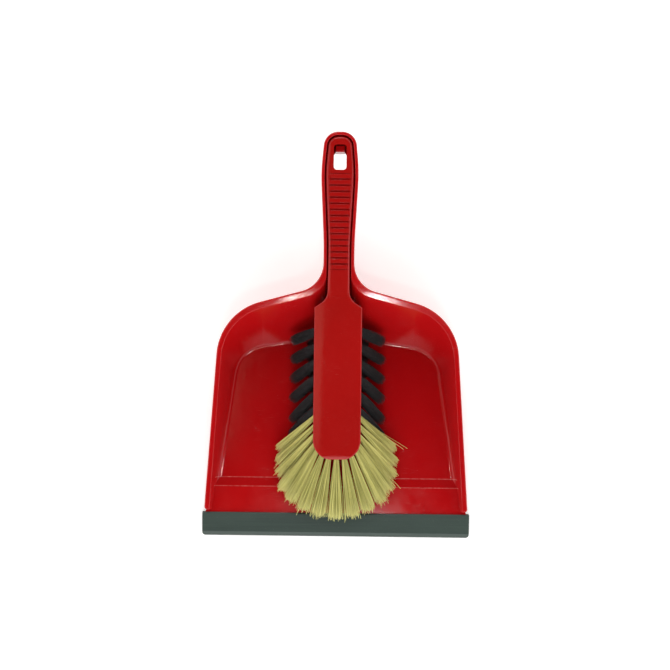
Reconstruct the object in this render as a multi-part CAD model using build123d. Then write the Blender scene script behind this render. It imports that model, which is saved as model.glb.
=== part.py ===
from build123d import *
from math import atan2, cos, degrees, radians, sin
import os

# A dust pan with a rubber lip and the hand brush that nests in it, in millimetres.
# X runs across the pan, +Y from the lip to the handle tip, +Z is up. The pan's flat
# floor and the lip stand on Z = 0, and X = Y = 0 is the middle of the pan.

# Plan of the pan's rim
LIP_HALF = 110.0
FRONT_Y = -163.0
TIP_Y = 163.0
RIM_END_Y = -141.0
NECK_HALF = 12.2
NECK_TOP_Y = 77.0
GRIP_CORNER = (15.0, 132.0)
TIP_CORNER_HALF = 12.0
SHOULDER_CORNER = (94.3, 20.9)
SHOULDER_SLOPE = 15.0
SIDE_SLOPE = 5.0
NECK_ROUND = 23.0
SHOULDER_ROUND = 47.7
GRIP_ROUND = 150.0
NECK_BEND_ROUND = 300.0
TIP_ROUND = 11.5
RIM_END_ROUND = 2.4

# Height of the pan's rim: one straight slope over the tray, a flatter one over the handle
RIM_LOW_Y = -140.0
RIM_LOW_Z = 8.0
RIM_BREAK_Y = 55.0
RIM_BREAK_Z = 45.05
RIM_HIGH_Y = 170.0
RIM_HIGH_Z = 52.5
RIM_BREAK_ROUND = 300.0
FLANGE_WIDTH = 5.0
FLANGE_THICK = 2.2
RIM_EDGE_ROUND = 1.2
RIM_UNDER_ROUND = 0.6
RIM_INNER_ROUND = 0.7
RIM_TEST_MARGIN = 0.5

# Walls, floor and the raised front strip that carries the lip
WALL = 2.2
SHELL_NECK_INSET = 1.7
SHELL_TOP_Y = 63.0
CAVITY_LIFT = 1.5
CAVITY_NECK_INSET = 3.2
CAVITY_TOP_Y = 60.0
CAVITY_END_Y = -147.0
CAVITY_ABOVE = 20.0
HANDLE_RIM = 2.6
HANDLE_FLANGE = 1.1
FLOOR_THICK = 1.8
FLOOR_LEDGE = 1.54
FLOOR_BACK_Y = 3.8
FLOOR_BACK_SLOPE = 0.15
FLOOR_CORNER = (82.5, -8.6)
FLOOR_CORNER_ROUND = 28.0
FLOOR_FRONT = (101.6, -141.0)
FLOOR_EDGE_ROUND = 4.0
FLOOR_SPLITS = (8.0, 12.0, 17.0)
STEP_BACK_Y = -114.5
STEP_FRONT_Y = -121.6
STRIP_RISE = 2.5
PAST_FRONT_Y = -213.0
UNDER_FLOOR_Z = -20.0
TONGUE_HALF = 107.6
TONGUE_FRONT_Y = -157.0
TONGUE_WIDE_Y = -142.7
TONGUE_BEND_Y = -138.0
EJECTOR_X = 69.0
EJECTOR_Y = -133.6
EJECTOR_RADIUS = 5.0
EJECTOR_DEPTH = 0.25

# Trough of the pan's handle and its hanging slot
TROUGH_LOW_Y = 38.0
HANDLE_START_Y = 36.0
TROUGH_LOW_Z = 30.4
TROUGH_HIGH_Y = 166.0
TROUGH_HIGH_Z = 38.3
TROUGH_THICK = 2.2
SLOT_WIDTH = 10.0
SLOT_LOW_Y = 133.3
SLOT_HIGH_Y = 153.2
SLOT_ROUND = 2.5
POST_WIDTH = 7.1
POST_LOW_Y = 147.7
POST_HIGH_Y = 152.7
POST_TOP_Z = 47.5
POST_ROUND = 0.8
PAN_SLOT_HIGH_Y = 148.7

# Rubber lip
LIP_BACK_Y = -143.2
LIP_BEVEL_Y = -159.1
LIP_TOP_Z = 5.9
LIP_BEVEL_Z = 4.9
LIP_EDGE_Z = 0.9
LIP_CORNER_ROUND = 2.4
LIP_SLOT_GAP = 0.05
LIP_HEEL = 1.2
LIP_BACK_CHAMFER = (0.9, 0.7)

# Brush block
BLOCK_HALF = 18.9
BLOCK_FRONT_Y = -95.0
BLOCK_BACK_Y = 25.5
BLOCK_ROUND = 15.4
BLOCK_BOTTOM_Z = 30.0
BLOCK_TOP_Z = 44.4
BLOCK_BEVEL = 6.0
BLOCK_CROWN_RADIUS = 190.0
BLOCK_EDGE_ROUND = 1.1
BLOCK_NOSE_ROUND = 4.5
BLOCK_HEEL_ROUND = 2.0
BLOCK_BEVEL_SLOPE = 44.0
BLOCK_MARGIN = 5.0
CROWN_DROP = 1.5
SHOULDER_LEAN = (-0.8, 0.6)

# Brush handle, with a gap to the trough all round
HANDLE_GAP = 0.9
HANDLE_FLOOR_GAP = 0.5
NECK_END_Y = 38.5
HANDLE_ROOT_Y = 6.0
HANDLE_LOW_Y = 27.0
HANDLE_LOW_Z = 44.0
HANDLE_HIGH_Y = 163.0
HANDLE_HIGH_Z = 51.9
HANDLE_TOP_ROUND = 2.4
HANDLE_BOTTOM_ROUND = 2.4
RIB_COUNT = 16
RIB_FIRST_Y = 57.4
RIB_PITCH = 4.73
RIB_LENGTH = 3.3
RIB_HEIGHT = 0.6
RIB_FIRST_HALF = 6.5
RIB_LAST_HALF = 9.3
RIB_ROUND = 0.25
RIB_CORNER_ROUND = 0.5

# Tufts and the drilled holes that hold them
HOLE_RADIUS = 1.8
HOLE_DEPTH = 6.0
TUFT_ROOT_RADIUS = 1.65
TUFT_ROOT_DEPTH = 4.4
TUFT_STRAIGHT = 2.0
BEVEL_INSET = 2.9
OUTER_MOUTH_Z = 33.1
FAN_CENTRE_Y = -79.6
FAN_MOUTH_DEPTH = 12.5
FAN_COUNT = 7
FAN_ARC_COUNT = 4
FAN_ARC_STEP = 20.45
FAN_SIDE_PITCH = 7.1
FAN_LAST_ANGLE = 46.0
FAN_QUARTER = 7.6
FAN_FRONT_REACH = 54.0
FAN_SIDE_REACH = 43.5
FAN_TIP_Z_FRONT = 8.4
FAN_TIP_Z_SIDE = 6.4
FAN_TIP_HALF_FRONT = 5.2
FAN_TIP_HALF_SIDE = 2.8
FAN_TIP_NARROWING = 1.5
FAN_TIP_THIN = 1.8
UNDER_FAN = ((0.0, -82.5, 0.0), (5.0, -77.5, 22.0), (5.0, -70.0, 36.0), (5.0, -62.5, 46.0))
UNDER_REACH = 12.5
UNDER_TIP_Z = 5.0
UNDER_TIP_HALF = (2.6, 2.2)
BLACK_COUNT = 6
BLACK_FIRST_Y = 7.3
BLACK_PITCH = 12.4
BLACK_SWEEPS = (23.0, 30.0, 37.5, 43.5, 49.5, 50.0)
BLACK_TIP_X = 37.1
BLACK_TIP_Z = 5.6
BLACK_BACK_TIP_Z = 16.0
BLACK_TIP_HALF = (3.9, 3.4)
UNDER_BLACK_X = 5.0
UNDER_BLACK_SHIFT = -1.5
UNDER_BLACK_SWEEP = 28.0
UNDER_BLACK_REACH = 22.0
UNDER_BLACK_BACK_TIP_Z = 9.0

# Flat wire staples at the bottoms of the tuft holes
ANCHOR_WIDTH = 3.2
ANCHOR_THICK = 0.5
ANCHOR_HEIGHT = 1.4
ANCHOR_GAP = 0.1

FAR = 400.0
RIM_TILT = degrees(atan2(RIM_BREAK_Z - RIM_LOW_Z, RIM_BREAK_Y - RIM_LOW_Y))
RIM_PLANE = Plane(
    origin=(0, RIM_LOW_Y, RIM_LOW_Z),
    x_dir=(1, 0, 0),
    z_dir=(0, -sin(radians(RIM_TILT)), cos(radians(RIM_TILT))),
)
SIDE_VIEW = Plane.YZ


def shoulder_corner(inset):
    """Where the shoulder edge and the side edge of the rim meet after both move inwards."""
    shoulder = Vector(-sin(radians(SHOULDER_SLOPE)), -cos(radians(SHOULDER_SLOPE)))
    side = Vector(-cos(radians(SIDE_SLOPE)), -sin(radians(SIDE_SLOPE)))
    return Vector(*SHOULDER_CORNER) + (shoulder + side) * (inset / (1 + shoulder.dot(side)))


def neck_corner(inset, half):
    """Where the shoulder edge meets the straight neck, for a neck of this half width."""
    shoulder = shoulder_corner(inset)
    rise = (shoulder.X - half) * sin(radians(SHOULDER_SLOPE)) / cos(radians(SHOULDER_SLOPE))
    return Vector(half, shoulder.Y + rise)


def side_end(inset, end_y):
    """End of the rim's side edge at end_y."""
    corner = shoulder_corner(inset)
    lean = sin(radians(SIDE_SLOPE)) / cos(radians(SIDE_SLOPE))
    return Vector(corner.X + (corner.Y - end_y) * lean, end_y)


def mirrored(points):
    """The same points on the -X side, in the order that closes the outline."""
    return [Vector(-p.X, p.Y) for p in reversed(points)]


def full_outline():
    """Plan of the whole pan inside its outermost edge: tray, neck and handle."""
    points = [
        Vector(TIP_CORNER_HALF, TIP_Y),
        Vector(*GRIP_CORNER),
        Vector(NECK_HALF, NECK_TOP_Y),
        neck_corner(0, NECK_HALF),
        shoulder_corner(0),
        side_end(0, RIM_END_Y),
    ]
    rounds = [TIP_ROUND, GRIP_ROUND, NECK_BEND_ROUND, NECK_ROUND, SHOULDER_ROUND, RIM_END_ROUND]
    wire = FilletPolyline(
        *points, *mirrored(points), radius=rounds + rounds[::-1], close=True
    )
    return make_face(wire)


def handle_outline(end_y, inset):
    """Plan of the handle alone, straight down to end_y, moved inwards by inset."""
    points = [
        Vector(TIP_CORNER_HALF, TIP_Y),
        Vector(*GRIP_CORNER),
        Vector(NECK_HALF, NECK_TOP_Y),
        Vector(NECK_HALF, end_y),
    ]
    rounds = [TIP_ROUND, GRIP_ROUND, NECK_BEND_ROUND]
    right = FilletPolyline(Vector(0, TIP_Y), *points, radius=rounds)
    left = mirror(right, about=Plane.YZ)
    base = Line((-NECK_HALF, end_y), (NECK_HALF, end_y))
    return offset(make_face([right, base, left]), amount=-inset)


def closed_loop(right, back_half, back_y, front):
    """A closed wire from the edges of its +X side, a back edge and a front edge."""
    left = [mirror(edge, about=Plane.YZ).edge() for edge in reversed(right)]
    back = Line((-back_half, back_y), (back_half, back_y))
    front_edge = Line((front.X, front.Y), (-front.X, front.Y))
    return Wire([back, *right, front_edge, *left])


def rim_loop(inset, neck_inset, end_y, close_y, lift=0):
    """The tray's opening at the rim, closed across the neck, laid lift above the rim's slope."""
    half = NECK_HALF - neck_inset
    stretch = cos(radians(RIM_TILT))
    plan = [
        Vector(half, close_y),
        neck_corner(inset, half),
        shoulder_corner(inset),
        side_end(inset, end_y),
    ]
    laid = [Vector(p.X, (p.Y - RIM_LOW_Y) / stretch) for p in plan]
    right = FilletPolyline(*laid, radius=[NECK_ROUND, SHOULDER_ROUND - inset])
    return RIM_PLANE.offset(lift) * closed_loop(right.edges(), half, laid[0].Y, laid[-1])


def floor_loop(grow, z, end_y):
    """The tray's floor outline at height z, with one edge for each edge of the rim's loop."""
    corner = Vector(FLOOR_CORNER[0] + grow, FLOOR_CORNER[1] + grow)
    lean = (FLOOR_FRONT[0] - FLOOR_CORNER[0]) / (FLOOR_CORNER[1] - FLOOR_FRONT[1])
    front = Vector(corner.X + (corner.Y - end_y) * lean, end_y)
    back = [Vector(x, FLOOR_BACK_Y + grow - FLOOR_BACK_SLOPE * x) for x in FLOOR_SPLITS]
    sweep = FilletPolyline(back[2], corner, front, radius=FLOOR_CORNER_ROUND)
    right = [Line(back[0], back[1]), Line(back[1], back[2]), *sweep.edges()]
    return Pos(0, 0, z) * closed_loop(right, back[0].X, back[0].Y, front)


def across(points, half=FAR):
    """A solid as wide as 2 x half in X, whose outline in side view has these (Y, Z) points."""
    face = make_face(Polyline(*points, close=True))
    return extrude(SIDE_VIEW * face, amount=half, both=True)


def rim_top_curve(drop):
    """The rim's height in side view, moved down by drop."""
    grade = (RIM_BREAK_Z - RIM_LOW_Z) / (RIM_BREAK_Y - RIM_LOW_Y)
    start = (FRONT_Y - 20, RIM_LOW_Z + grade * (FRONT_Y - 20 - RIM_LOW_Y) - drop)
    end_rise = (RIM_HIGH_Z - RIM_BREAK_Z) / (RIM_HIGH_Y - RIM_BREAK_Y)
    end = (TIP_Y + 20, RIM_HIGH_Z + end_rise * (TIP_Y + 20 - RIM_HIGH_Y) - drop)
    return FilletPolyline(start, (RIM_BREAK_Y, RIM_BREAK_Z - drop), end, radius=RIM_BREAK_ROUND)


def below_rim(drop=0.0):
    """All the space under the rim's top, moved down by drop."""
    curve = rim_top_curve(drop)
    low = -50.0
    sides = Polyline(curve @ 1, ((curve @ 1).X, low), ((curve @ 0).X, low), curve @ 0)
    return extrude(SIDE_VIEW * make_face([curve, sides]), amount=FAR, both=True)


def border_edges(faces):
    """The edges round a patch of faces, without those between two of its faces."""
    edges = [edge for face in faces for edge in face.edges()]
    return [edge for edge in edges if sum(edge.is_same(other) for other in edges) == 1]


def rim_flange():
    """The flange that runs round the tray and the handle, its outer edges rounded."""
    flange = extrude(full_outline(), amount=FAR) & (below_rim() - below_rim(FLANGE_THICK))
    top = flange.faces().filter_by(lambda face: face.normal_at().Z > 0.7)
    flange = fillet(border_edges(top), RIM_EDGE_ROUND)
    bottom = flange.faces().filter_by(lambda face: face.normal_at().Z < -0.7)
    return fillet(border_edges(bottom), RIM_UNDER_ROUND)


def inner_rim_edges(body):
    """The edges where the rim's top face turns down into the tray and the trough."""
    inside = offset(full_outline(), amount=-RIM_EDGE_ROUND - RIM_TEST_MARGIN).face()
    top = body.faces().filter_by(lambda face: face.normal_at().Z > 0.9)
    top = top.filter_by(lambda face: abs(face.center().Z - rim_height(face.center().Y)) < 1)
    edges = border_edges(top)
    return [edge for edge in edges if inside.is_inside(Vector((edge @ 0.5).X, (edge @ 0.5).Y))]


def rim_height(y):
    """Height of the rim at y, without the round at its break."""
    if y < RIM_BREAK_Y:
        grade = (RIM_BREAK_Z - RIM_LOW_Z) / (RIM_BREAK_Y - RIM_LOW_Y)
    else:
        grade = (RIM_HIGH_Z - RIM_BREAK_Z) / (RIM_HIGH_Y - RIM_BREAK_Y)
    return RIM_BREAK_Z + grade * (y - RIM_BREAK_Y)


def trough_floor(y):
    """Height of the trough's floor at y."""
    grade = (TROUGH_HIGH_Z - TROUGH_LOW_Z) / (TROUGH_HIGH_Y - TROUGH_LOW_Y)
    return TROUGH_LOW_Z + grade * (y - TROUGH_LOW_Y)


def slot_prism(low_y, high_y):
    """The hanging slot as a vertical prism with rounded corners."""
    length = high_y - low_y
    plan = Pos(0, (low_y + high_y) / 2) * RectangleRounded(SLOT_WIDTH, length, SLOT_ROUND)
    return extrude(plan, amount=FAR, both=True)


def tray_cavity():
    """The space inside the tray, open at the top and at the front."""
    low = floor_loop(0, FLOOR_THICK, CAVITY_END_Y)
    inset = FLANGE_WIDTH - CAVITY_LIFT
    top = rim_loop(inset, CAVITY_NECK_INSET, CAVITY_END_Y, CAVITY_TOP_Y, CAVITY_LIFT)
    cavity = Solid.make_loft([low, top], ruled=True)
    above = extrude(Face(top), amount=CAVITY_ABOVE, dir=(0, 0, 1))
    strip_z = FLOOR_THICK + STRIP_RISE
    floor_line = [
        (PAST_FRONT_Y, strip_z),
        (STEP_FRONT_Y, strip_z),
        (STEP_BACK_Y, FLOOR_THICK),
        (FAR, FLOOR_THICK),
        (FAR, FAR),
        (PAST_FRONT_Y, FAR),
    ]
    rounded = fillet(floor_edges(cavity), FLOOR_EDGE_ROUND)
    return (rounded + above) & across(floor_line)


def floor_edges(cavity):
    """The edges all round the tray's floor, but not the one across the open front."""
    low = cavity.edges().filter_by(lambda e: e.center().Z < FLOOR_THICK + 0.01)
    return low.filter_by(lambda e: e.center().Y > RIM_END_Y)


def pan_body():
    """The moulded pan: tray with a flanged rim, raised front strip and a trough handle."""
    outer_floor = floor_loop(FLOOR_LEDGE, 0, RIM_END_Y)
    outer_rim = rim_loop(FLANGE_WIDTH - WALL, SHELL_NECK_INSET, RIM_END_Y, SHELL_TOP_Y)
    shell = Solid.make_loft([outer_floor, outer_rim], ruled=True)
    handle = extrude(handle_outline(HANDLE_START_Y, HANDLE_FLANGE), amount=FAR)
    handle_side = [
        (TROUGH_LOW_Y, trough_floor(TROUGH_LOW_Y) - TROUGH_THICK),
        (FAR, trough_floor(FAR) - TROUGH_THICK),
        (FAR, FAR),
        (TROUGH_LOW_Y, FAR),
    ]
    solid = (shell + (handle & across(handle_side))) & below_rim(FLANGE_THICK / 2)
    tongue = extrude(Pos(0, 0, STRIP_RISE) * tongue_plan(), amount=FLOOR_THICK)
    under_strip = across(
        [
            (STEP_BACK_Y, UNDER_FLOOR_Z),
            (STEP_BACK_Y, 0),
            (STEP_FRONT_Y, STRIP_RISE),
            (PAST_FRONT_Y, STRIP_RISE),
            (PAST_FRONT_Y, UNDER_FLOOR_Z),
        ]
    )
    body = solid - under_strip + rim_flange() + tongue - tray_cavity()
    trough = extrude(handle_outline(0, HANDLE_RIM), amount=FAR)
    trough_side = [(0, TROUGH_LOW_Z), (TROUGH_LOW_Y, TROUGH_LOW_Z)]
    trough_side += [(FAR, trough_floor(FAR)), (FAR, FAR), (0, FAR)]
    body = body - (trough & across(trough_side))
    body = fillet(inner_rim_edges(body), RIM_INNER_ROUND)
    body = body - slot_prism(SLOT_LOW_Y, PAN_SLOT_HIGH_Y) + retaining_post()
    for side in (-1, 1):
        mark_z = FLOOR_THICK + STRIP_RISE
        mark = Cylinder(EJECTOR_RADIUS, 2 * EJECTOR_DEPTH)
        body = body - Pos(side * EJECTOR_X, EJECTOR_Y, mark_z) * mark
    return body


def tongue_plan():
    """Plan of the front strip: as wide as the walls at the back, the lip's width in front."""
    back = side_end(FLANGE_WIDTH - WALL, STEP_FRONT_Y)
    points = [
        Vector(back.X, STEP_FRONT_Y),
        side_end(FLANGE_WIDTH - WALL, TONGUE_BEND_Y),
        Vector(TONGUE_HALF, TONGUE_WIDE_Y),
        Vector(TONGUE_HALF, TONGUE_FRONT_Y),
    ]
    return make_face(Polyline(*points, *mirrored(points), close=True))


def retaining_post():
    """The post that stands in the top end of the slot and holds the brush's handle."""
    base_z = trough_floor(POST_LOW_Y) - TROUGH_THICK / 2
    depth = POST_HIGH_Y - POST_LOW_Y
    height = POST_TOP_Z - base_z
    post = Pos(0, (POST_LOW_Y + POST_HIGH_Y) / 2, base_z + height / 2) * Box(
        POST_WIDTH, depth, height
    )
    return fillet(post.edges().group_by(Axis.Z)[-1], POST_ROUND)


def rubber_lip():
    """The rubber strip pushed onto the front strip's tongue, bevelled down to the ground."""
    tongue_low = STRIP_RISE - LIP_SLOT_GAP
    tongue_high = STRIP_RISE + FLOOR_THICK + LIP_SLOT_GAP
    slot_end = TONGUE_FRONT_Y - LIP_SLOT_GAP
    outline = [
        (FRONT_Y, 0),
        (LIP_BACK_Y - LIP_HEEL, 0),
        (LIP_BACK_Y, LIP_HEEL),
        (LIP_BACK_Y, tongue_low),
        (slot_end, tongue_low),
        (slot_end, tongue_high),
        (LIP_BACK_Y, tongue_high),
        (LIP_BACK_Y, LIP_TOP_Z - LIP_BACK_CHAMFER[1]),
        (LIP_BACK_Y - LIP_BACK_CHAMFER[0], LIP_TOP_Z),
        (LIP_BEVEL_Y, LIP_BEVEL_Z),
        (FRONT_Y, LIP_EDGE_Z),
    ]
    lip = across(outline, LIP_HALF)
    corners = lip.edges().filter_by(Axis.Z).group_by(Axis.Y)[0]
    return fillet(corners, LIP_CORNER_ROUND)


def block_outline():
    """Plan of the brush block, with a rounded nose and shoulders that run into the neck."""
    neck = NECK_HALF - HANDLE_RIM - HANDLE_GAP
    nose = FilletPolyline(
        (BLOCK_HALF, BLOCK_BACK_Y),
        (BLOCK_HALF, BLOCK_FRONT_Y),
        (-BLOCK_HALF, BLOCK_FRONT_Y),
        (-BLOCK_HALF, BLOCK_BACK_Y),
        radius=BLOCK_ROUND,
    )
    right = Spline(
        (BLOCK_HALF, BLOCK_BACK_Y), (neck, NECK_END_Y), tangents=[SHOULDER_LEAN, (0, 1)]
    )
    left = mirror(right, about=Plane.YZ)
    top = Line((neck, NECK_END_Y), (-neck, NECK_END_Y))
    return make_face([nose, right, left, top])


def brush_block():
    """The block: crowned top, nose rounded down, and a bevel underneath for the outer tufts."""
    bevel_z = BLOCK_BOTTOM_Z + BLOCK_BEVEL
    upper = extrude(Pos(0, 0, bevel_z) * block_outline(), amount=BLOCK_TOP_Z - bevel_z)
    lower_half = make_face(
        FilletPolyline(
            (BLOCK_HALF, BLOCK_BACK_Y),
            (BLOCK_HALF, BLOCK_FRONT_Y),
            (-BLOCK_HALF, BLOCK_FRONT_Y),
            (-BLOCK_HALF, BLOCK_BACK_Y),
            radius=[BLOCK_HEEL_ROUND, BLOCK_ROUND, BLOCK_ROUND, BLOCK_HEEL_ROUND],
            close=True,
        )
    )
    top_plan = Pos(0, 0, bevel_z) * lower_half
    lower = extrude(top_plan, amount=BLOCK_BEVEL, dir=(0, 0, -1), taper=BLOCK_BEVEL_SLOPE)
    crown_z = BLOCK_TOP_Z - BLOCK_CROWN_RADIUS
    crown = Pos(0, 0, crown_z) * Rot(90, 0, 0) * Cylinder(BLOCK_CROWN_RADIUS, FAR)
    low_z = BLOCK_BOTTOM_Z - BLOCK_MARGIN
    back_y = NECK_END_Y + BLOCK_MARGIN
    side = FilletPolyline(
        (BLOCK_FRONT_Y, low_z),
        (BLOCK_FRONT_Y, BLOCK_TOP_Z),
        (back_y, BLOCK_TOP_Z),
        radius=BLOCK_NOSE_ROUND,
    )
    base = Polyline((back_y, BLOCK_TOP_Z), (back_y, low_z), (BLOCK_FRONT_Y, low_z))
    nose = extrude(SIDE_VIEW * make_face([side, base]), amount=FAR, both=True)
    block = (upper + lower) & crown & nose
    top = block.faces().filter_by(lambda face: face.normal_at().Z > 0.6)
    edges = [edge for edge in border_edges(top) if (edge @ 0.5).Z > BLOCK_TOP_Z - CROWN_DROP]
    sides = [edge for edge in edges if (edge @ 0.5).Y < NECK_END_Y - BLOCK_EDGE_ROUND]
    return fillet(sides, BLOCK_EDGE_ROUND)


def handle_top(y):
    """Height of the brush handle's top face at y."""
    grade = (HANDLE_HIGH_Z - HANDLE_LOW_Z) / (HANDLE_HIGH_Y - HANDLE_LOW_Y)
    return HANDLE_LOW_Z + grade * (y - HANDLE_LOW_Y)


def brush_handle():
    """The brush's handle, a size smaller than the trough, rising gently to its tip."""
    inset = HANDLE_RIM + HANDLE_GAP
    plan = handle_outline(HANDLE_ROOT_Y - inset, inset)
    low_z = trough_floor(TROUGH_LOW_Y) + HANDLE_FLOOR_GAP
    side = [
        (0, low_z),
        (TROUGH_LOW_Y, low_z),
        (FAR, trough_floor(FAR) + HANDLE_FLOOR_GAP),
        (FAR, handle_top(FAR)),
        (0, handle_top(0)),
    ]
    handle = extrude(plan, amount=FAR) & across(side)
    top = handle.faces().sort_by(Axis.Z)[-1]
    handle = fillet(top.edges(), HANDLE_TOP_ROUND)
    bottom = handle.faces().filter_by(lambda face: face.normal_at().Z < -0.9)
    return fillet(border_edges(bottom), HANDLE_BOTTOM_ROUND)


def grip_ribs():
    """Low bars across the top of the handle, wider towards its tip."""
    tilt = degrees(atan2(HANDLE_HIGH_Z - HANDLE_LOW_Z, HANDLE_HIGH_Y - HANDLE_LOW_Y))
    ribs = []
    for index in range(RIB_COUNT):
        y = RIB_FIRST_Y + index * RIB_PITCH
        half = RIB_FIRST_HALF + (RIB_LAST_HALF - RIB_FIRST_HALF) * index / (RIB_COUNT - 1)
        bar = Box(2 * half, RIB_LENGTH, 2 * RIB_HEIGHT)
        bar = fillet(bar.edges().filter_by(Axis.Z), RIB_CORNER_ROUND)
        bar = fillet(bar.edges().group_by(Axis.Z)[-1], RIB_ROUND)
        ribs.append(Pos(0, y, handle_top(y)) * Rot(tilt, 0, 0) * bar)
    return ribs


class Tuft:
    """One tuft: where it leaves the block, where it ends, and how it spreads."""

    def __init__(self, name, mouth, tip, tip_half):
        self.name = name
        self.mouth = Vector(*mouth)
        self.tip = Vector(*tip)
        self.tip_half = tip_half
        self.way = (self.tip - self.mouth).normalized()
        self.level = Vector(self.way.Y, -self.way.X, 0).normalized()

    def plane(self, distance):
        """The plane across the tuft at this distance outside the mouth."""
        return Plane(origin=self.mouth + self.way * distance, x_dir=self.level, z_dir=self.way)

    def solid(self):
        """A round root in the hole, then a straight flare to a flattened tip."""
        root = Wire.make_circle(TUFT_ROOT_RADIUS, self.plane(-TUFT_ROOT_DEPTH))
        neck = Wire.make_circle(TUFT_ROOT_RADIUS, self.plane(TUFT_STRAIGHT))
        length = (self.tip - self.mouth).length
        tip = Wire.make_ellipse(self.tip_half[0], self.tip_half[1], self.plane(length))
        return Solid.make_loft([root, neck, tip], ruled=True)

    def hole(self):
        """The drill's path into the block, started outside the mouth."""
        start = self.plane(-HOLE_DEPTH)
        return Solid.make_cylinder(HOLE_RADIUS, 2 * HOLE_DEPTH, start)

    def anchor(self):
        """The flat staple across the fold of the tuft, at the bottom of its hole."""
        depth = TUFT_ROOT_DEPTH + ANCHOR_GAP + ANCHOR_HEIGHT / 2
        place = self.plane(-depth)
        return place.location * Box(ANCHOR_WIDTH, ANCHOR_THICK, ANCHOR_HEIGHT)


def fan_mouth(index):
    """Mouth of the index-th outer fan tuft: round the nose first, then along the side."""
    half = BLOCK_HALF - BEVEL_INSET
    turn = radians(FAN_ARC_STEP * min(index, FAN_ARC_COUNT))
    back = FAN_SIDE_PITCH * max(0, index - FAN_ARC_COUNT)
    x = half * sin(turn)
    y = FAN_CENTRE_Y - FAN_MOUTH_DEPTH * cos(turn) + back
    if index > FAN_ARC_COUNT:
        x = half
    return x, y


def yellow_tufts():
    """The stiff fan round the nose, and the lower tufts behind it."""
    tufts = []
    for index in range(-FAN_COUNT, FAN_COUNT + 1):
        side = -1 if index < 0 else 1
        step = abs(index)
        x, y = fan_mouth(step)
        angle = radians(FAN_LAST_ANGLE * sin(radians(90 * step / FAN_QUARTER)))
        part = step / FAN_COUNT
        reach = FAN_FRONT_REACH + (FAN_SIDE_REACH - FAN_FRONT_REACH) * part * part
        tip_x = x + reach * sin(angle)
        tip_y = y - reach * cos(angle)
        tip_z = FAN_TIP_Z_FRONT if tip_y < STEP_BACK_Y else FAN_TIP_Z_SIDE
        number = index + FAN_COUNT + 1
        mouth = (side * x, y, OUTER_MOUTH_Z)
        tip = (side * tip_x, tip_y, tip_z)
        narrowing = (FAN_TIP_HALF_FRONT - FAN_TIP_HALF_SIDE) * part**FAN_TIP_NARROWING
        tip_half = (FAN_TIP_HALF_FRONT - narrowing, FAN_TIP_THIN)
        tufts.append(Tuft(f"yellow_tuft_{number:02d}", mouth, tip, tip_half))
    number = 0
    for x, y, sweep in UNDER_FAN:
        for side in (-1, 1) if x else (1,):
            number += 1
            angle = radians(sweep)
            mouth = (side * x, y, BLOCK_BOTTOM_Z)
            tip_x = side * (x + UNDER_REACH * sin(angle))
            tip = (tip_x, y - UNDER_REACH * cos(angle), UNDER_TIP_Z)
            tufts.append(Tuft(f"yellow_under_tuft_{number:02d}", mouth, tip, UNDER_TIP_HALF))
    return tufts


def black_tufts():
    """Two soft rows on each side, both splayed, the inner one under the outer one."""
    tufts = []
    half = BLOCK_HALF - BEVEL_INSET
    for side, label in ((-1, "left"), (1, "right")):
        for index in range(BLACK_COUNT):
            y = BLACK_FIRST_Y - BLACK_PITCH * index
            sweep = radians(BLACK_SWEEPS[index])
            reach = (BLACK_TIP_X - half) / cos(sweep)
            tip_z = BLACK_BACK_TIP_Z if index == 0 else BLACK_TIP_Z
            tip = (side * BLACK_TIP_X, y - reach * sin(sweep), tip_z)
            name = f"black_{label}_tuft_{index + 1:02d}"
            tufts.append(Tuft(name, (side * half, y, OUTER_MOUTH_Z), tip, BLACK_TIP_HALF))
            inner_y = y + UNDER_BLACK_SHIFT
            lean = radians(UNDER_BLACK_SWEEP)
            inner_tip = (
                side * (UNDER_BLACK_X + UNDER_BLACK_REACH * cos(lean)),
                inner_y - UNDER_BLACK_REACH * sin(lean),
                UNDER_BLACK_BACK_TIP_Z if index == 0 else UNDER_TIP_Z,
            )
            name = f"black_{label}_under_tuft_{index + 1:02d}"
            mouth = (side * UNDER_BLACK_X, inner_y, BLOCK_BOTTOM_Z)
            tufts.append(Tuft(name, mouth, inner_tip, UNDER_TIP_HALF))
    return tufts


def brush_body(tufts):
    """The moulded brush: block, handle with ribs and slot, and the drilled tuft holes."""
    body = brush_block() + brush_handle()
    body = body + grip_ribs()
    body = body - slot_prism(SLOT_LOW_Y, SLOT_HIGH_Y)
    return body - [tuft.hole() for tuft in tufts]


def write(node, shape):
    """Write one node's STEP file."""
    shape.label = node
    export_step(shape, f"parts/{node}.step")


def main():
    os.makedirs("parts", exist_ok=True)
    tufts = yellow_tufts() + black_tufts()
    write("pan_body", pan_body())
    write("rubber_lip", rubber_lip())
    write("brush_body", brush_body(tufts))
    write("tuft_anchors", Compound([tuft.anchor() for tuft in tufts]))
    for tuft in tufts:
        write(tuft.name, tuft.solid())


main()
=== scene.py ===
"""Looks of a dust pan and brush set: moulded plastic, a rubber lip, and tufts made of single filaments."""

from math import pi, radians

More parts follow.
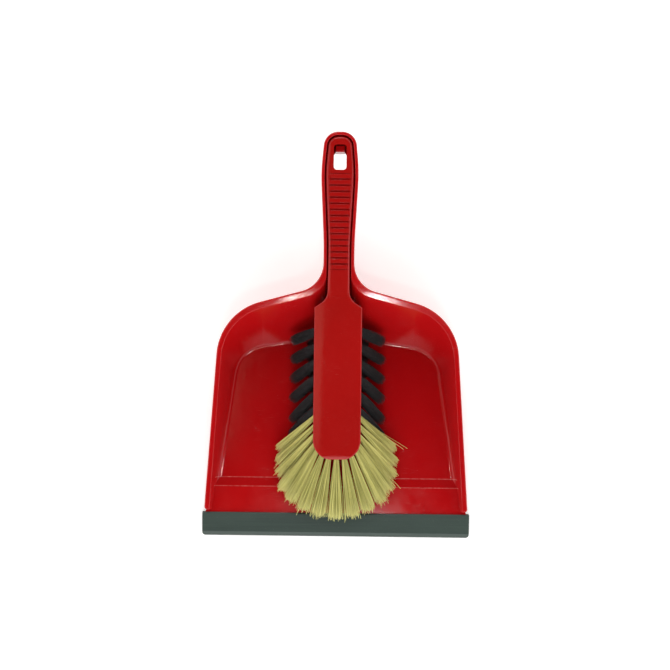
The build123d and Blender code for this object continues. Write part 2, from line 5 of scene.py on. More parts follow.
import bpy
import numpy as np
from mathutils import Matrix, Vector


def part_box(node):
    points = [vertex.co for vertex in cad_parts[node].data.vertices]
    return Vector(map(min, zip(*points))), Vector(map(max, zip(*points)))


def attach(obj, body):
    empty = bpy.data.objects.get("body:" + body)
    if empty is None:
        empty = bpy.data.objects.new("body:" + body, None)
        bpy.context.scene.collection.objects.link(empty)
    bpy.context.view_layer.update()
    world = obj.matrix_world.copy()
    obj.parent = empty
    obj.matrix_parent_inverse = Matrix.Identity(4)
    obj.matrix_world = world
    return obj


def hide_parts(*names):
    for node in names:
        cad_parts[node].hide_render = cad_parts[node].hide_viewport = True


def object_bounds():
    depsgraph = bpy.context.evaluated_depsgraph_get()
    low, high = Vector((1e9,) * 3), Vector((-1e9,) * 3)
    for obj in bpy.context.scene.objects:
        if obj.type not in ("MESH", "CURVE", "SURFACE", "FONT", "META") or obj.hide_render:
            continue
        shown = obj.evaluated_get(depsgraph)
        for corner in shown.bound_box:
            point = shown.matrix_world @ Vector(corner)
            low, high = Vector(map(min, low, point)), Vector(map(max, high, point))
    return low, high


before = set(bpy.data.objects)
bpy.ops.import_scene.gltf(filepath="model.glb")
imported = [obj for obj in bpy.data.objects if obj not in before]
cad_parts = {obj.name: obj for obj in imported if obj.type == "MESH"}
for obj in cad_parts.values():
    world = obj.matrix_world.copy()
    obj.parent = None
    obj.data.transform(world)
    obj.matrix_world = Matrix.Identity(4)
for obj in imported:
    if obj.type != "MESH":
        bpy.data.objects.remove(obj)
cad_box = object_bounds()

bl_info = {
    "name": "Dust pan and brush set",
    "version": (1, 0, 0),
    "blender": (4, 5, 0),
    "location": "View3D > Sidebar > Dust Pan",
    "description": "Dresses a dust pan and its hand brush in plastic, rubber and bristles",
    "category": "Object",
}

MM = 0.001
GOLDEN_ANGLE = pi * (3 - 5 ** 0.5)
# where the ramp up to the pan's front strip starts and ends
STEP_EDGES = (-114.5 * MM, -121.6 * MM)
# the painted highlight lines on the ramp's edges fade in between these heights, so the side walls have none
STEP_LINE_HEIGHTS = (7.0 * MM, 6.5 * MM)
# the grip's ribs: how many, their middles, and half of a rib's thickness along the grip
RIB_COUNT = 16
RIB_FIRST_Y = 57.4 * MM
RIB_PITCH = 4.73 * MM
RIB_LAST_Y = RIB_FIRST_Y + (RIB_COUNT - 1) * RIB_PITCH
RIB_HALF = 1.65 * MM
# the painted shade between the ribs comes in between these distances from the grip's middle line
GROOVE_SHADE_HALF_WIDTHS = (9.0 * MM, 7.0 * MM)
# the vertices of a tuft that lie this near to its furthest one are its end
END_BAND = 0.6 * MM
# rings of vertices along a thread
THREAD_RINGS = 8
# how far a thread may hang below its tuft's CAD solid
THREAD_BELOW = 0.4 * MM
# a tuft's outermost threads are this share shorter than its middle ones
TUFT_DOME = 0.03
# a stray thread leans this many times further, and is longer by up to this share
STRAY_LEAN = 3.5
STRAY_LENGTH = 0.05
# how far loose threads stand off at their tips, and how many times as long they are
LOOSE_LEAN = (5.0 * MM, 7.5 * MM)
LOOSE_LENGTH = 1.1
# painted shade: the lower tufts stand in the outer ones' shadow, so they keep to the darkest of the shades
UNDER_PAINTED_SHADE = 0.25
# where the camera stands from the middle of the set, across and along it
CAMERA_OFFSET = (-2.4 * MM, 3.8 * MM)
# half of the floor's side
FLOOR_HALF = 3.0
# a Mix node's colour sockets, among others with the same names: two that go in and one that comes out
COLOUR_A, COLOUR_B, MIXED_COLOUR = 6, 7, 2


# ---------------------------------------------------------------- colours and nodes


def linear(hex_colour):
    """sRGB hex to linear RGBA: c / 12.92 for dark channels, else ((c + 0.055) / 1.055) to the power 2.4."""
    channels = [int(hex_colour[i : i + 2], 16) / 255 for i in (1, 3, 5)]
    return [c / 12.92 if c <= 0.04045 else ((c + 0.055) / 1.055) ** 2.4 for c in channels] + [1.0]


def per_size(size_mm):
    """Texture scale, in repeats per metre, that gives a pattern of this size in millimetres."""
    return 1000.0 / size_mm


def add(tree, kind, inputs=None, output=0, **settings):
    """Add a node with its settings and return one of its outputs, or None where it has none.

    inputs gives each socket, by its name or number, a value or the output that feeds it.
    """
    node = tree.nodes.new("ShaderNode" + kind)
    for name, value in settings.items():
        setattr(node, name, value)
    for socket, value in (inputs or {}).items():
        if isinstance(value, bpy.types.NodeSocket):
            tree.links.new(value, node.inputs[socket])
        else:
            node.inputs[socket].default_value = value
    return node.outputs[output] if node.outputs else None


def new_material(name):
    """An empty node material: its tree, and its coordinates in the object's own metres."""
    material = bpy.data.materials.new(name)
    material.use_nodes = True
    tree = material.node_tree
    tree.nodes.clear()
    place = add(tree, "TexCoord", output="Object")
    return material, tree, place


def pattern(tree, place, size_mm, seed, detail=2.0, stretch=(1, 1, 1), turn=0.0, span=(0, 1), to=(0, 1)):
    """A noise whose grains are size_mm across, drawn out by stretch and turned about Z by turn degrees.

    The noise's values over span become the range to, and values outside span are held at its ends.
    """
    scale = tuple(per_size(size_mm) / s for s in stretch)
    shift = (seed, seed * 0.7, seed * 0.3)
    rotation = (0, 0, radians(turn))
    grains = add(tree, "Mapping", {"Vector": place, "Location": shift, "Rotation": rotation, "Scale": scale})
    noise = add(tree, "TexNoise", {"Vector": grains, "Scale": 1.0, "Detail": detail, "Roughness": 0.55})
    ends = {"From Min": span[0], "From Max": span[1], "To Min": to[0], "To Max": to[1]}
    return add(tree, "MapRange", {"Value": noise, **ends})


def layer(tree, under, over, mask, strength=1.0):
    """The colour under, gone towards the colour over by mask times strength. Each may be an output."""
    factor = add(tree, "Math", {0: mask, 1: strength}, operation="MULTIPLY")
    colours = {"Factor": factor, COLOUR_A: under, COLOUR_B: over}
    return add(tree, "Mix", colours, MIXED_COLOUR, data_type="RGBA")


def relief(tree, *layers):
    """The normal of bumps laid over each other. A layer is a height, and how many mm its 1 stands for."""
    normal = {}
    for height, distance_mm in layers:
        bump = {"Height": height, "Distance": distance_mm * MM, "Strength": 1.0, **normal}
        normal = {"Normal": add(tree, "Bump", bump)}
    return normal["Normal"]


def finish_material(tree, inputs):
    """The shader that ends a material."""
    shader = add(tree, "BsdfPrincipled", inputs)
    add(tree, "OutputMaterial", {"Surface": shader})


def dress(node, material):
    """Give a CAD node its material, in every slot that it has."""
    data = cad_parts[node].data
    data.materials.clear()
    data.materials.append(material)


# ---------------------------------------------------------------- materials


def painted_edge_highlights(tree, place, colour, pale, grain, edges):
    """A painted highlight: a paler line along each edge across the part, 1 mm wide at most, of uneven
    strength.
    """
    y = add(tree, "SeparateXYZ", {"Vector": place}, "Y")
    z = add(tree, "SeparateXYZ", {"Vector": place}, "Z")
    off, on = STEP_LINE_HEIGHTS
    low = add(tree, "MapRange", {"Value": z, "From Min": off, "From Max": on})
    uneven = add(tree, "MapRange", {"Value": grain, "To Min": 0.1, "To Max": 0.4})
    uneven = add(tree, "Math", {0: uneven, 1: low}, operation="MULTIPLY")
    for edge in edges:
        away = add(tree, "Math", {0: y, 1: edge}, operation="SUBTRACT")
        away = add(tree, "Math", {0: away}, operation="ABSOLUTE")
        line = add(tree, "MapRange", {"Value": away, "From Min": 0.5 * MM, "From Max": 0.15 * MM})
        colour = layer(tree, colour, pale, line, uneven)
    return colour


def rib_groove_shade(tree, place, colour, dark):
    """Painted shade in the grooves between the grip's ribs: the colour there goes towards dark.

    The distance from the nearest rib's middle is a triangle wave along Y. The painted shade lies past a rib's
    side, from the groove before the first rib to the one after the last, and over the middle of the grip.
    """
    x = add(tree, "SeparateXYZ", {"Vector": place}, "X")
    y = add(tree, "SeparateXYZ", {"Vector": place}, "Y")
    across = add(tree, "Math", {0: x}, operation="ABSOLUTE")
    along = add(tree, "Math", {0: y, 1: RIB_FIRST_Y}, operation="SUBTRACT")
    from_rib = add(tree, "Math", {0: along, 1: RIB_PITCH / 2}, operation="PINGPONG")
    start = RIB_FIRST_Y - RIB_PITCH / 2
    end = RIB_LAST_Y + RIB_PITCH / 2
    # each is a distance, where the grime is gone and where it is full
    ramps = (
        (from_rib, RIB_HALF - 0.15 * MM, RIB_HALF + 0.15 * MM),
        (y, start, start + 0.2 * MM),
        (y, end, end - 0.2 * MM),
        (across, *GROOVE_SHADE_HALF_WIDTHS),
    )
    groove = 1.0
    for value, off, on in ramps:
        ramp = add(tree, "MapRange", {"Value": value, "From Min": off, "From Max": on})
        groove = add(tree, "Math", {0: groove, 1: ramp}, operation="MULTIPLY")
    return layer(tree, colour, dark, groove, 0.55)


def moulded_polypropylene(name, colours, seed, edges=(), ribs=False):
    """Polypropylene, injection moulded and glossy, then used.

    The eye gets an even deep red that clouds a little where the plastic flowed, a soft broken gloss, hair
    scratches in two directions that catch light, a few pale specks of dust, and a painted highlight: a thin
    paler line along each crease across the part whose Y is in edges. Painted shade darkens the grooves
    between ribs.
    """
    material, tree, place = new_material(name)
    red, clouded, grainy, pale = (linear(colour) for colour in colours)
    cloud = pattern(tree, place, 55, seed, detail=3, span=(0.3, 0.7))
    grain = pattern(tree, place, 2.2, seed + 4, detail=3, span=(0.3, 0.7))
    colour = layer(tree, red, clouded, cloud)
    colour = layer(tree, colour, grainy, grain, 0.16)
    # hair scratches 9 and 12 mm long and 0.3 mm wide, wider than real ones so that they show
    short = pattern(tree, place, 0.3, seed + 9, 1, stretch=(30, 1, 1), turn=28, span=(0.70, 0.76))
    long = pattern(tree, place, 0.3, seed + 13, 1, stretch=(40, 1, 1), turn=-57, span=(0.71, 0.77))
    scratches = add(tree, "Math", {0: short, 1: long}, operation="MAXIMUM")
    # patches that are worn, 30 mm across, are the ones that have scratches
    worn = pattern(tree, place, 30, seed + 21, span=(0.45, 0.65))
    marks = add(tree, "Math", {0: scratches, 1: worn}, operation="MULTIPLY")
    colour = layer(tree, colour, pale, marks, 0.15)
    # specks of dust about 0.3 mm across and 9 mm apart
    cells = {"Vector": place, "Scale": per_size(9), "Randomness": 1.0}
    from_speck = add(tree, "TexVoronoi", cells, "Distance", feature="F1")
    dust = add(tree, "MapRange", {"Value": from_speck, "From Min": 0.026, "From Max": 0.014})
    colour = layer(tree, colour, pale, dust, 0.35)
    if edges:
        # painted highlights: paler lines along the step edges
        colour = painted_edge_highlights(tree, place, colour, pale, grain, edges)
    if ribs:
        # painted shade: the grooves between the ribs go darker
        colour = rib_groove_shade(tree, place, colour, linear("#5c0808"))
    gloss = pattern(tree, place, 14, seed + 31, detail=4, span=(0.3, 0.7), to=(0.07, 0.13))
    roughness = add(tree, "Math", {0: marks, 1: 0.2, 2: gloss}, operation="MULTIPLY_ADD")
    # the tool's polish leaves a faint orange peel, 3 mm across, and shrinkage leaves slow waves of 12 mm
    waves = pattern(tree, place, 12, seed + 37, detail=1)
    peel = pattern(tree, place, 3.0, seed + 41)
    finish_material(
        tree,
        {
            "Base Color": colour,
            "Roughness": roughness,
            "Normal": relief(tree, (waves, 0.05), (peel, 0.02), (marks, -0.01)),
            "IOR": 1.49,
            "Specular IOR Level": 0.35,
            "Subsurface Weight": 0.2,
            "Subsurface Radius": (1.0, 0.12, 0.1),
            "Subsurface Scale": 3.0 * MM,
        },
    )
    return material


def extruded_rubber(name, colours):
    """Thermoplastic rubber, extruded as a strip.

    The eye gets a satin grey green, faint streaks along the strip from the die, a dusty bloom and nicks.
    """
    material, tree, place = new_material(name)
    grey, streaked, lighter, dusty = (linear(colour) for colour in colours)
    streak = pattern(tree, place, 0.9, seed=3, detail=3, stretch=(90, 1, 1), span=(0.3, 0.7))
    bloom = pattern(tree, place, 24, seed=8, detail=4, stretch=(2.5, 1, 1), span=(0.35, 0.7))
    grit = pattern(tree, place, 0.7, seed=15, span=(0.66, 0.74))
    colour = layer(tree, grey, streaked, streak)
    colour = layer(tree, colour, lighter, bloom, 0.5)
    colour = layer(tree, colour, dusty, grit, 0.3)
    nicks = pattern(tree, place, 0.8, seed=19)
    finish_material(
        tree,
        {
            "Base Color": colour,
            "Roughness": add(tree, "MapRange", {"Value": bloom, "To Min": 0.42, "To Max": 0.62}),
            "Normal": relief(tree, (streak, 0.03), (nicks, 0.03)),
            "IOR": 1.5,
            "Specular IOR Level": 0.35,
        },
    )
    return material


def drawn_steel(name, colours):
    """Steel wire, drawn flat and galvanised.

    The eye gets a grey metal with fine lines along the wire and dull zinc patches.
    """
    material, tree, place = new_material(name)
    lines = pattern(tree, place, 0.12, seed=2, stretch=(1, 1, 14), span=(0.3, 0.7))
    patch = pattern(tree, place, 1.2, seed=6, detail=3, span=(0.35, 0.65))
    finish_material(
        tree,
        {
            "Base Color": layer(tree, linear(colours[0]), linear(colours[1]), patch),
            "Roughness": add(tree, "MapRange", {"Value": lines, "To Min": 0.25, "To Max": 0.45}),
            "Normal": relief(tree, (lines, 0.005)),
            "Metallic": 1.0,
        },
    )
    return material


def filament(name, colours, roughness):
    """Polymer filament, extruded and cut.

    The eye gets threads that each have their own shade, lighter at the cut tip, and painted shade that
    darkens them towards the root.
    """
    material, tree, place = new_material(name)
    dark, light, cut = (linear(colour) for colour in colours)
    shade = add(tree, "Attribute", output="Fac", attribute_name="shade")
    along = add(tree, "Attribute", output="Fac", attribute_name="along")
    tip = add(tree, "MapRange", {"Value": along, "From Min": 0.75, "From Max": 1.0})
    root = add(tree, "MapRange", {"Value": along, "From Min": 0.45, "From Max": 0.0})
    colour = layer(tree, dark, light, shade)
    colour = layer(tree, colour, cut, tip, 0.45)
    # painted shade: the threads go darker towards the root, where the tuft shades itself
    colour = layer(tree, colour, dark, root, 0.5)
    # uneven die marks along each thread, 3 mm long
    gloss = pattern(tree, place, 3.0, seed=5, span=(0.3, 0.7), to=(roughness, roughness + 0.15))
    finish_material(tree, {"Base Color": colour, "Roughness": gloss, "IOR": 1.5})
    return material


# ---------------------------------------------------------------- tufts


def tuft_line(node):
    """Root, tip, cross directions and half widths of a tuft's CAD solid.

    An end is the mean of the vertices within END_BAND of the furthest one along the axis, and the axis is
    the line from the upper end to the lower one. Level is horizontal and across the axis, rise is level x
    axis, and the half widths are the lower end's furthest reach along the two.
    """
    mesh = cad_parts[node].data
    points = np.empty(len(mesh.vertices) * 3)
    mesh.vertices.foreach_get("co", points)
    points = points.reshape(-1, 3)
    axis = np.linalg.svd(points - points.mean(0), full_matrices=False)[2][0]
    axis = axis * -np.sign(axis[2])
    for _ in range(3):
        along = points @ axis
        root = points[along < along.min() + END_BAND].mean(0)
        end = points[along > along.max() - END_BAND]
        tip = end.mean(0)
        axis = (tip - root) / np.linalg.norm(tip - root)
    level = np.cross(axis, (0, 0, 1))
    level = level / np.linalg.norm(level)
    rise = np.cross(level, axis)
    half = (np.abs((end - tip) @ level).max(), np.abs((end - tip) @ rise).max())
    return root, tip, axis, level, rise, half


def tube_faces(count, rings, sides):
    """Faces of count capped tubes, and which of them are smooth.

    Side quads run between rings. The sides are even in number, and a cap is cut into quads from its corner 0.
    """
    corner = np.arange(sides)
    after = (corner + 1) % sides
    ring = (np.arange(rings - 1) * sides)[:, None]
    walls = np.stack([ring + corner, ring + after, ring + sides + after, ring + sides + corner], -1)
    step = np.arange(0, sides - 2, 2)
    cap = np.stack([step * 0, step + 1, step + 2, step + 3], -1)
    top = cap + (rings - 1) * sides
    one = np.concatenate([walls.reshape(-1, 4), cap[:, ::-1], top])
    start = np.arange(count) * rings * sides
    faces = (start[:, None, None] + one).reshape(-1, 4)
    smooth = np.tile(np.arange(len(one)) < (rings - 1) * sides, count)
    return faces, smooth


def make_threads(name, lines, radii, across, shade, sides):
    """One mesh of round threads. lines is count x rings x 3 and radii is count x rings.

    A thread's point is its line's point plus its radius times (cos a, sin a) in the two across directions.
    """
    count, rings = radii.shape
    angle = np.arange(sides) * 2 * pi / sides
    ring = np.cos(angle)[:, None] * across[0] + np.sin(angle)[:, None] * across[1]
    points = lines[:, :, None, :] + radii[:, :, None, None] * ring
    faces, smooth = tube_faces(count, rings, sides)
    mesh = bpy.data.meshes.new(name)
    mesh.from_pydata(points.reshape(-1, 3), [], faces)
    mesh.polygons.foreach_set("use_smooth", smooth)
    along = np.broadcast_to(np.linspace(0, 1, rings)[None, :, None], (count, rings, sides))
    shades = np.broadcast_to(shade[:, None, None], (count, rings, sides))
    for label, values in (("along", along), ("shade", shades)):
        attribute = mesh.attributes.new(label, "FLOAT", "POINT")
        attribute.data.foreach_set("value", values.astype(np.float32).ravel())
    mesh.update()
    piece = bpy.data.objects.new(name, mesh)
    bpy.context.scene.collection.objects.link(piece)
    return piece


def grow_tuft(node, count, radius, looks, material, seed):
    """Fill a tuft's CAD solid with threads, and let them stand for it.

    Threads start on a sunflower pattern in the root's circle: thread i sits at angle i times the golden
    angle, at the share sqrt((i + 0.5) / count) of the radius. They run straight to the mouth and then open
    out as 1 - (1 - run) to the power swell, where run goes from 0 at the mouth to 1 at the tip. There they
    fill the solid's half widths, with spread added on the level sides. Each thread has its own length, lean
    and bow, and loose threads stand off the tuft's back side.
    """
    rng = np.random.default_rng(seed)
    root, tip, axis, level, rise, half = tuft_line(node)
    length = np.linalg.norm(tip - root)
    turn = np.arange(count) * GOLDEN_ANGLE + rng.uniform(0, 2 * pi)
    share = np.sqrt((np.arange(count) + 0.5) / count)
    spot = np.stack([np.cos(turn), np.sin(turn)], 1) * share[:, None]
    spot = spot + rng.normal(0, 0.5 / np.sqrt(count), spot.shape)
    t = np.linspace(0, 1, THREAD_RINGS)
    reach = length * (1 + looks["uneven"] * rng.normal(0, 1, count) - TUFT_DOME * share ** 3)
    stray = rng.random(count) < looks["strays"]
    reach = reach * np.where(stray, 1 + rng.uniform(0, STRAY_LENGTH, count), 1)
    run = np.clip((t * length - looks["straight"]) / (length - looks["straight"]), 0, 1)
    opening = 1 - (1 - run) ** looks["swell"]
    inner = looks["root_radius"]
    wide = np.array(half) + np.array((looks["spread"], 0))
    offset = spot[:, None, :] * (inner + (wide - inner) * opening[None, :, None])
    lean = rng.normal(0, looks["lean"], (count, 2)) * np.where(stray, STRAY_LEAN, 1)[:, None]
    loose = looks["loose"].get(node, 0)
    lean[:loose, 0] -= np.linspace(*LOOSE_LEAN, loose)
    reach[:loose] *= LOOSE_LENGTH
    bow = rng.normal(0, looks["bow"], (count, 2))
    offset = offset + lean[:, None, :] * opening[None, :, None] ** 1.5
    offset = offset + bow[:, None, :] * np.sin(pi * opening)[None, :, None]
    kink = rng.normal(0, looks["kink"], (count, THREAD_RINGS, 2))
    offset = offset + kink * opening[None, :, None] ** 2
    lines = root + axis * (reach[:, None] * t)[:, :, None]
    lines = lines + offset[..., :1] * level + offset[..., 1:] * rise
    lines[..., 2] = np.maximum(lines[..., 2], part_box(node)[0].z - THREAD_BELOW)
    radii = radius * (1 - (1 - looks["taper"]) * t ** 3)[None, :] * rng.uniform(0.85, 1.1, count)[:, None]
    # painted shade: the lower tufts keep to the darker tones
    shade = rng.random(count) * (UNDER_PAINTED_SHADE if "under" in node else 1.0)
    piece = make_threads(f"{node}_threads", lines, radii, (level, rise), shade, looks["sides"])
    piece.data.materials.append(material)
    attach(piece, "brush")
    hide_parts(node)


def grow_tufts(first_word, count, radius, looks, material):
    """Grow every tuft whose name starts with first_word. The lower tufts hold fewer threads."""
    nodes = [n for n in sorted(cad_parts) if n.startswith(first_word) and "tuft_" in n]
    for index, node in enumerate(nodes):
        share = looks["under_share"] if "under" in node else 1.0
        grow_tuft(node, int(count * share), radius, looks, material, looks["seed"] + index)


# How the threads of a tuft stand. As shares: uneven is the spread of their lengths, strays how many of them
# stand off, taper a tip's radius over its root's, and under_share a lower tuft's threads over an outer one's.
# As lengths: straight is what the hole holds, root_radius the circle they start in, spread what they add to
# the solid's half width, and lean, bow and kink how far they wander. swell is how soon they open out, sides
# is a thread's corners, and loose has the tufts with loose threads and how many.
YELLOW_LOOKS = {
    "slot": "yellow_bristle",
    "seed": 100,
    "sides": 6,
    "uneven": 0.03,
    "strays": 0.04,
    "straight": 4.2 * MM,
    "swell": 1.1,
    "root_radius": 1.4 * MM,
    "spread": 1.1 * MM,
    "lean": 0.5 * MM,
    "bow": 0.15 * MM,
    "kink": 0.0,
    "taper": 0.9,
    "under_share": 0.7,
    "loose": {"yellow_tuft_15": 3},
}
BLACK_LOOKS = {
    "slot": "black_bristle",
    "seed": 300,
    "sides": 4,
    "uneven": 0.02,
    "strays": 0.02,
    "straight": 2.0 * MM,
    "swell": 4.0,
    "root_radius": 1.6 * MM,
    "spread": 0.3 * MM,
    "lean": 0.35 * MM,
    "bow": 0.2 * MM,
    "kink": 0.12 * MM,
    "taper": 0.35,
    "under_share": 0.6,
    "loose": {},
}


# ---------------------------------------------------------------- settings


class DustPanPlastic(bpy.types.PropertyGroup):
    pan_red: bpy.props.StringProperty(
        name="Pan red", description="Main colour of the pan, as sRGB hex", default="#ab0d10"
    )
    brush_red: bpy.props.StringProperty(
        name="Brush red", description="Main colour of the brush, as sRGB hex", default="#a01312"
    )
    lip_grey: bpy.props.StringProperty(
        name="Lip grey", description="Main colour of the rubber lip, as sRGB hex", default="#33413b"
    )


class DustPanBristles(bpy.types.PropertyGroup):
    yellow_count: bpy.props.IntProperty(
        name="Yellow threads", description="Threads in each tuft of the fan", default=150, min=10, max=200
    )
    yellow_radius: bpy.props.FloatProperty(
        name="Yellow radius",
        description="Radius of a yellow thread",
        default=0.18 * MM,
        precision=5,
        subtype="DISTANCE",
    )
    black_count: bpy.props.IntProperty(
        name="Black threads", description="Threads in each black tuft", default=300, min=10, max=400
    )
    black_radius: bpy.props.FloatProperty(
        name="Black radius",
        description="Radius of a black thread",
        default=0.12 * MM,
        precision=5,
        subtype="DISTANCE",
    )


class DustPanStudio(bpy.types.PropertyGroup):
    camera_height: bpy.props.FloatProperty(
        name="Camera height",
        description="Height of the camera over the floor",
        default=0.9,
        subtype="DISTANCE",
    )
    lens: bpy.props.FloatProperty(
        name="Lens", description="Focal length in millimetres", default=58.3, subtype="DISTANCE_CAMERA"
    )
    roll: bpy.props.FloatProperty(
        name="Roll",
        description="Turn of the camera about its line of sight",
        default=radians(0.7),
        subtype="ANGLE",
    )
    left_power: bpy.props.FloatProperty(
        name="Left light",
        description="Power of the soft light high on the left",
        default=0.8,
        subtype="POWER",
    )
    front_power: bpy.props.FloatProperty(
        name="Front light", description="Power of the soft light in front", default=8.0, subtype="POWER"
    )
    back_power: bpy.props.FloatProperty(
        name="Back light", description="Power of the soft light behind", default=8.0, subtype="POWER"
    )
    flash_power: bpy.props.FloatProperty(
        name="Flashes",
        description="Power of the small light in front on the right; the one on the left has half",
        default=0.9,
        subtype="POWER",
    )
    dome_strength: bpy.props.FloatProperty(
        name="Dome", description="Brightness of the soft dome near the horizon", default=1.9
    )


# ---------------------------------------------------------------- operators


class DUSTPAN_OT_pan(bpy.types.Operator):
    """Dress the moulded pan in glossy red polypropylene"""

    bl_idname = "dustpan.pan"
    bl_label = "Pan"

    def execute(self, context):
        red = context.scene.dustpan_plastic.pan_red
        colours = (red, "#a50b10", "#bd1415", "#e0908a")
        material = moulded_polypropylene("moulded_polypropylene_pan", colours, 1.0, STEP_EDGES)
        dress("pan_body", material)
        return {"FINISHED"}


class DUSTPAN_OT_lip(bpy.types.Operator):
    """Dress the lip in extruded rubber"""

    bl_idname = "dustpan.lip"
    bl_label = "Rubber lip"

    def execute(self, context):
        grey = context.scene.dustpan_plastic.lip_grey
        colours = (grey, "#2b3834", "#3d4b44", "#6f7a74")
        dress("rubber_lip", extruded_rubber("extruded_rubber_lip", colours))
        return {"FINISHED"}


class DUSTPAN_OT_brush(bpy.types.Operator):
    """Dress the moulded brush in red polypropylene, and its anchors in steel"""

    bl_idname = "dustpan.brush"
    bl_label = "Brush"

    def execute(self, context):
        red = context.scene.dustpan_plastic.brush_red
        colours = (red, "#981210", "#ac1b16", "#d98880")
        material = moulded_polypropylene("moulded_polypropylene_brush", colours, 7.0, ribs=True)
        dress("brush_body", material)
        dress("tuft_anchors", drawn_steel("drawn_steel_anchor", ("#a9a9a4", "#8d8d8a")))
        return {"FINISHED"}


class DUSTPAN_OT_yellow(bpy.types.Operator):
    """Grow the stiff straw-coloured threads of the fan"""

    bl_idname = "dustpan.yellow"
    bl_label = "Yellow tufts"

    def execute(self, context):
        bristles = context.scene.dustpan_bristles
        material = filament("extruded_filament_straw", ("#8f8c3c", "#dcd67e", "#e4df92"), 0.42)
        grow_tufts("yellow", bristles.yellow_count, bristles.yellow_radius, YELLOW_LOOKS, material)
        return {"FINISHED"}


class DUSTPAN_OT_black(bpy.types.Operator):
    """Grow the soft black threads of the side rows"""

    bl_idname = "dustpan.black"
    bl_label = "Black tufts"

    def execute(self, context):
        bristles = context.scene.dustpan_bristles
        material = filament("flagged_filament_black", ("#0f1011", "#232426", "#2a2b2d"), 0.6)
        grow_tufts("black", bristles.black_count, bristles.black_radius, BLACK_LOOKS, material)
        return {"FINISHED"}


def softbox(name, place, target, size, power, colour, mirrored):
    """A square area light at place, turned to target. Glossy surfaces show it where mirrored is True."""
    light = bpy.data.lights.new(name, "AREA")
    light.shape = "SQUARE"
    light.size = size
    light.energy = power
    light.color = linear(colour)[:3]
    lamp = bpy.data.objects.new(name, light)
    lamp.location = place
    lamp.rotation_euler = (Vector(target) - Vector(place)).to_track_quat("-Z", "Y").to_euler()
    lamp.visible_glossy = mirrored
    bpy.context.scene.collection.objects.link(lamp)


def soft_dome(strength):
    """A white dome, bright round the horizon and dark overhead, so that flat tops keep their colour."""
    world = bpy.data.worlds.new("soft_dome")
    world.use_nodes = True
    tree = world.node_tree
    tree.nodes.clear()
    place = add(tree, "TexCoord", output="Generated")
    height = add(tree, "SeparateXYZ", {"Vector": place}, "Z")
    fade = {"Value": height, "From Min": 0.44, "From Max": 0.86, "To Min": strength, "To Max": 0.0}
    glow = add(tree, "MapRange", fade)
    sky = add(tree, "Background", {"Color": (1, 1, 1, 1), "Strength": glow})
    add(tree, "OutputWorld", {"Surface": sky})
    return world


def pale_floor(half):
    """A matt pale floor. From below it lets light and sight through, so that the underside can be seen."""
    material, tree, place = new_material("painted_board_floor")
    speck = pattern(tree, place, 1.5, seed=0, detail=3, span=(0.3, 0.7))
    board = add(
        tree,
        "BsdfPrincipled",
        {
            "Base Color": layer(tree, linear("#f3f3f1"), linear("#f7f7f6"), speck),
            "Roughness": 0.8,
            "Specular IOR Level": 0.1,
            "Emission Color": (1, 1, 1, 1),
            "Emission Strength": 0.3,
        },
    )
    clear = add(tree, "BsdfTransparent")
    from_below = add(tree, "NewGeometry", output="Backfacing")
    surface = add(tree, "MixShader", {0: from_below, 1: board, 2: clear})
    add(tree, "OutputMaterial", {"Surface": surface})
    mesh = bpy.data.meshes.new("floor")
    corners = [(-half, -half, 0), (half, -half, 0), (half, half, 0), (-half, half, 0)]
    mesh.from_pydata(corners, [], [(0, 1, 2, 3)])
    mesh.materials.append(material)
    floor = bpy.data.objects.new("floor", mesh)
    bpy.context.scene.collection.objects.link(floor)


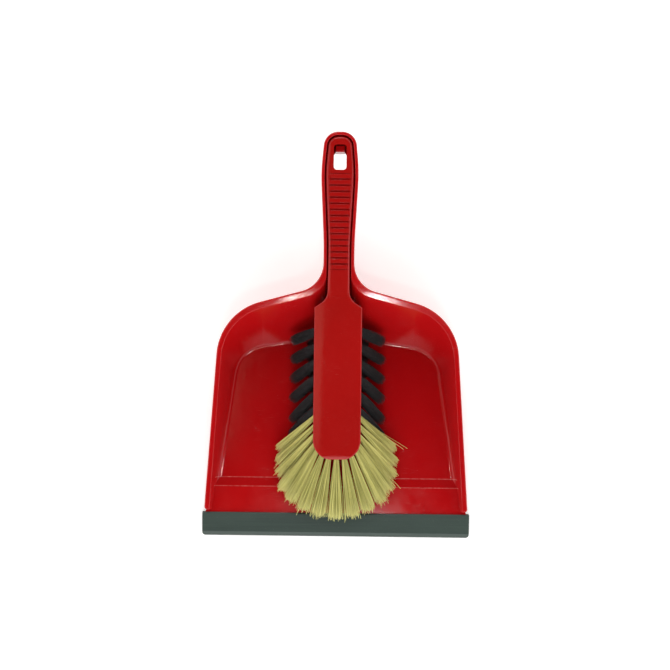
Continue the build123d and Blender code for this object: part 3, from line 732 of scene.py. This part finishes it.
class DUSTPAN_OT_studio(bpy.types.Operator):
    """Set the pale floor, the soft lights and the camera straight above"""

    bl_idname = "dustpan.studio"
    bl_label = "Studio"

    def execute(self, context):
        studio = context.scene.dustpan_studio
        scene = context.scene
        middle = (cad_box[0] + cad_box[1]) / 2
        across, along = CAMERA_OFFSET
        camera = bpy.data.objects.new("camera", bpy.data.cameras.new("camera"))
        camera.data.lens = studio.lens
        camera.data.sensor_width = 36.0
        camera.location = (middle.x + across, middle.y + along, studio.camera_height)
        camera.rotation_euler = (0, 0, studio.roll)
        scene.collection.objects.link(camera)
        scene.camera = camera
        pale_floor(FLOOR_HALF)
        set_middle = (0, 0, 0)
        block_back = (0, 0.03, 0.04)
        half_flash = studio.flash_power / 2
        # name, place, target, size, power, colour, and whether glossy surfaces show it
        lights = (
            ("left_softbox", (-0.42, 0.05, 1.25), set_middle, 0.5, studio.left_power, "#ffe2c8", True),
            ("front_softbox", (0.1, -1.5, 1.0), set_middle, 1.0, studio.front_power, "#ffffff", False),
            ("back_softbox", (-0.1, 1.6, 1.1), set_middle, 1.0, studio.back_power, "#ffffff", True),
            ("right_flash", (0.078, -0.40, 1.2), block_back, 0.04, studio.flash_power, "#ffffff", True),
            ("left_flash", (-0.074, -0.40, 1.2), block_back, 0.03, half_flash, "#fff4ec", True),
        )
        for light in lights:
            softbox(*light)
        scene.world = soft_dome(studio.dome_strength)
        scene.view_settings.view_transform = "Standard"
        return {"FINISHED"}


STEPS = (
    DUSTPAN_OT_pan,
    DUSTPAN_OT_lip,
    DUSTPAN_OT_brush,
    DUSTPAN_OT_yellow,
    DUSTPAN_OT_black,
    DUSTPAN_OT_studio,
)


class DUSTPAN_PT_sidebar(bpy.types.Panel):
    """The steps of the set, in order, and their settings"""

    bl_label = "Dust Pan"
    bl_idname = "DUSTPAN_PT_sidebar"
    bl_space_type = "VIEW_3D"
    bl_region_type = "UI"
    bl_category = "Dust Pan"

    def draw(self, context):
        for group in (
            context.scene.dustpan_plastic,
            context.scene.dustpan_bristles,
            context.scene.dustpan_studio,
        ):
            for name in group.__annotations__:
                self.layout.prop(group, name)
        for step in STEPS:
            self.layout.operator(step.bl_idname)


GROUPS = (DustPanPlastic, DustPanBristles, DustPanStudio)


def register():
    for cls in (*GROUPS, *STEPS, DUSTPAN_PT_sidebar):
        bpy.utils.register_class(cls)
    bpy.types.Scene.dustpan_plastic = bpy.props.PointerProperty(type=DustPanPlastic)
    bpy.types.Scene.dustpan_bristles = bpy.props.PointerProperty(type=DustPanBristles)
    bpy.types.Scene.dustpan_studio = bpy.props.PointerProperty(type=DustPanStudio)


def unregister():
    for name in ("dustpan_plastic", "dustpan_bristles", "dustpan_studio"):
        delattr(bpy.types.Scene, name)
    for cls in reversed((*GROUPS, *STEPS, DUSTPAN_PT_sidebar)):
        bpy.utils.unregister_class(cls)


def main():
    register()
    for step in ("pan", "lip", "brush", "yellow", "black", "studio"):
        getattr(bpy.ops.dustpan, step)()


if __name__ == "__main__":
    main()
